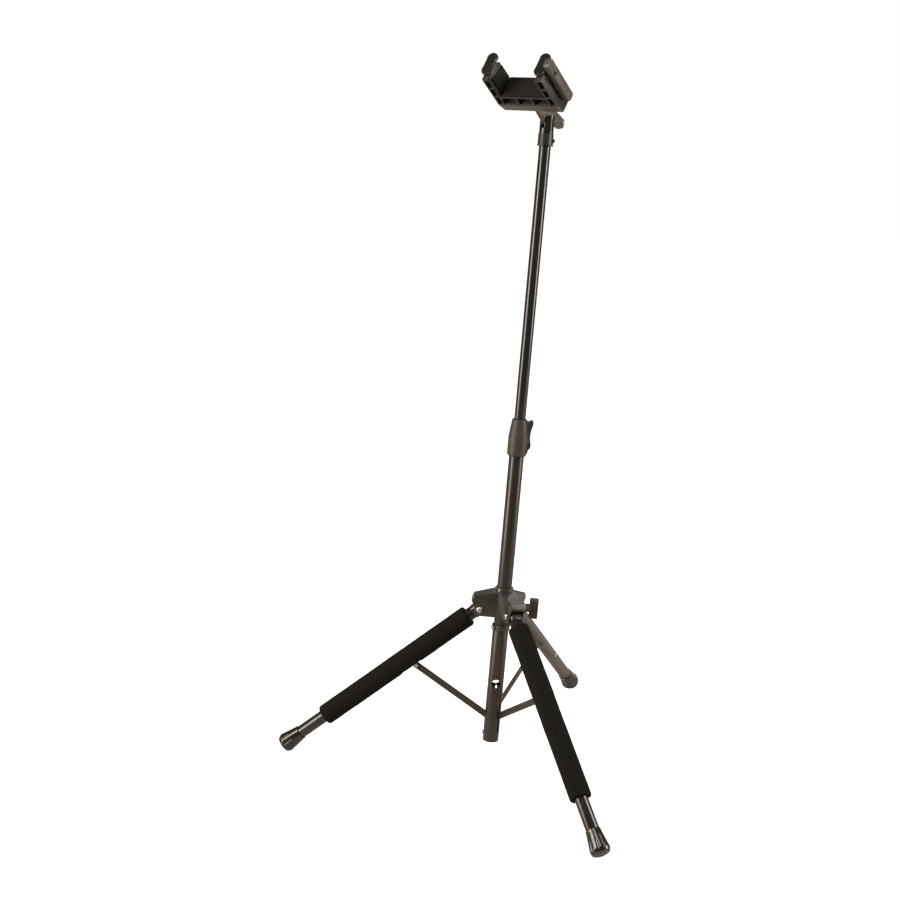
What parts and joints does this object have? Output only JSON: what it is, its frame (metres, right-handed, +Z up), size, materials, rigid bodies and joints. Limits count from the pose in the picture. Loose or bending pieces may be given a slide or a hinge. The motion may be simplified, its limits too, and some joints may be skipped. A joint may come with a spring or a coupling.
{
  "type": "guitar stand",
  "caption": "Folding tripod guitar stand with a telescoping leaning mast, foam-sleeved front legs and a tilting fork whose gates swing shut round the neck of a hanging guitar.",
  "frame": {"origin": "on the floor, at the bottom centre of the bounding box of the open stand", "axes": "+Z up, -Y toward the front where the guitar hangs, +Y toward the rear leg, +X toward the side that has the hub clamp and the link cover"},
  "size_m": [0.6386, 0.4979, 1.1617],
  "materials": {
    "black_tube": "gloss",
    "sleeve_coat": "satin",
    "cast_grey": "semi-gloss casting",
    "black_plastic": "matte",
    "grey_plastic": "satin",
    "knob_plastic": "matte",
    "foam": "matte closed-cell foam",
    "rubber_black": "semi-gloss",
    "brace_grey": "satin",
    "steel": "zinc plated",
    "bush_white": "natural"
  },
  "bodies": {
    "base": {"lower_tube": "black_tube", "base_sleeve": "sleeve_coat", "sleeve_ring": "sleeve_coat", "ring_screw": "steel", "sleeve_rivet": "steel", "brace_anchor": "black_plastic", "clutch_body": "black_plastic", "trigger_pin": "steel"},
    "hub": {"hub_casting": "cast_grey", "hub_liner": "bush_white", "leg_bolts": "steel"},
    "clamp": {"clamp_screw": "steel", "clamp_knob": "knob_plastic"},
    "trigger": {"clutch_trigger": "black_plastic"},
    "bush": {"clutch_bush": "bush_white"},
    "mast": {"upper_tube": "black_tube", "tube_bush": "bush_white", "head_collar": "black_plastic", "collar_screw": "steel", "head_neck": "cast_grey", "tilt_pin": "steel"},
    "fork": {"fork_body": "black_plastic", "tail_plate": "grey_plastic", "fork_tongue": "grey_plastic", "tongue_pin": "steel", "cradle_pad": "rubber_black", "prong_liner_left": "rubber_black", "prong_liner_right": "rubber_black", "link_cover": "grey_plastic", "cover_screw": "steel"},
    "rod": {"link_rod": "steel"},
    "leg_left": {"leg_fitting_left": "cast_grey", "leg_tube_left": "black_tube", "leg_foot_left": "rubber_black", "knee_bracket_left": "black_tube", "leg_foam_left": "foam"},
    "brace_left": {"brace_left": "brace_grey", "brace_rivets_left": "steel"},
    "leg_right": {"leg_fitting_right": "cast_grey", "leg_tube_right": "black_tube", "leg_foot_right": "rubber_black", "knee_bracket_right": "black_tube", "leg_foam_right": "foam"},
    "brace_right": {"brace_right": "brace_grey", "brace_rivets_right": "steel"},
    "leg_rear": {"leg_fitting_rear": "cast_grey", "leg_tube_rear": "black_tube", "leg_foot_rear": "rubber_black", "knee_bracket_rear": "black_tube", "rear_leg_rivet": "steel"},
    "brace_rear": {"brace_rear": "brace_grey", "brace_rivets_rear": "steel"},
    "gate_left": {"gate_arm_left": "black_plastic", "gate_pad_left": "rubber_black", "gate_shaft_left": "steel"},
    "gate_right": {"gate_arm_right": "black_plastic", "gate_pad_right": "rubber_black", "gate_shaft_right": "steel"}
  },
  "joints": [
    {"name": "hub_slide", "type": "slide", "parent": "base", "child": "hub", "axis": [0, 0.1671, 0.9859], "range_m": [0, 0.1072]},
    {"name": "clamp_turn", "type": "hinge", "parent": "hub", "child": "clamp", "pos_m": [0, -0.0136, 0.26008], "axis": [0.866, 0.493, -0.0836], "range_deg": [0, 360]},
    {"name": "leg_left_fold", "type": "hinge", "parent": "hub", "child": "leg_left", "pos_m": [-0.03377, -0.03399, 0.25644], "axis": [0.5, -0.8538, 0.1447], "range_deg": [0, 40.92]},
    {"name": "brace_left_fold", "type": "hinge", "parent": "leg_left", "child": "brace_left", "pos_m": [-0.11698, -0.10536, 0.15741], "axis": [-0.5, 0.8538, -0.1447], "range_deg": [0, 86.63]},
    {"name": "leg_right_fold", "type": "hinge", "parent": "hub", "child": "leg_right", "pos_m": [0.03377, -0.03399, 0.25644], "axis": [0.5, 0.8538, -0.1447], "range_deg": [0, 40.92]},
    {"name": "brace_right_fold", "type": "hinge", "parent": "leg_right", "child": "brace_right", "pos_m": [0.12198, -0.09682, 0.15596], "axis": [-0.5, -0.8538, 0.1447], "range_deg": [0, 86.63]},
    {"name": "leg_rear_fold", "type": "hinge", "parent": "hub", "child": "leg_rear", "pos_m": [0, 0.02369, 0.24666], "axis": [-1, 0, 0], "range_deg": [0, 43.32]},
    {"name": "brace_rear_fold", "type": "hinge", "parent": "leg_rear", "child": "brace_rear", "pos_m": [-0.005, 0.10504, 0.12897], "axis": [1, 0, 0], "range_deg": [0, 87.61]},
    {"name": "trigger_press", "type": "hinge", "parent": "base", "child": "trigger", "pos_m": [0.01472, 0.04241, 0.53965], "axis": [0.5, -0.8538, 0.1447], "range_deg": [0, 3], "stiffness_Nm_per_rad": 0.6, "springref_deg": -5.73},
    {"name": "mast_turn", "type": "hinge", "parent": "base", "child": "bush", "pos_m": [0, 0.0347, 0.54502], "axis": [0, 0.1671, 0.9859], "continuous": true},
    {"name": "mast_slide", "type": "slide", "parent": "bush", "child": "mast", "axis": [0, 0.1671, 0.9859], "range_m": [-0.27, 0.05]},
    {"name": "fork_tilt", "type": "hinge", "parent": "mast", "child": "fork", "pos_m": [0, 0.12043, 1.0508], "axis": [0.9976, -0.0688, 0.0117], "range_deg": [0, 33], "stiffness_Nm_per_rad": 0.5, "springref_deg": -34.38},
    {"name": "gate_left_swing", "type": "hinge", "parent": "fork", "child": "gate_left", "pos_m": [-0.05603, 0.03056, 1.13321], "axis": [0.0585, 0.7338, -0.6768], "range_deg": [0, 90.1]},
    {"name": "gate_right_swing", "type": "hinge", "parent": "fork", "child": "gate_right", "pos_m": [0.04124, 0.02386, 1.13435], "axis": [-0.0585, -0.7338, 0.6768], "range_deg": [0, 90.1]},
    {"name": "rod_slide", "type": "slide", "parent": "fork", "child": "rod", "axis": [0.0585, 0.7338, -0.6768], "range_m": [0, 0.0081]}
  ],
  "couplings": [
    {"joint": "leg_left_fold", "follows": "hub_slide", "rad_per_m": 6.6592},
    {"joint": "brace_left_fold", "follows": "hub_slide", "rad_per_m": 14.102},
    {"joint": "leg_right_fold", "follows": "hub_slide", "rad_per_m": 6.6592},
    {"joint": "brace_right_fold", "follows": "hub_slide", "rad_per_m": 14.102},
    {"joint": "leg_rear_fold", "follows": "hub_slide", "rad_per_m": 7.0499},
    {"joint": "brace_rear_fold", "follows": "hub_slide", "rad_per_m": 14.261},
    {"joint": "gate_left_swing", "follows": "fork_tilt", "ratio": 2.7273},
    {"joint": "gate_right_swing", "follows": "fork_tilt", "ratio": 2.7273},
    {"joint": "rod_slide", "follows": "fork_tilt", "m_per_rad": 0.01389}
  ]
}
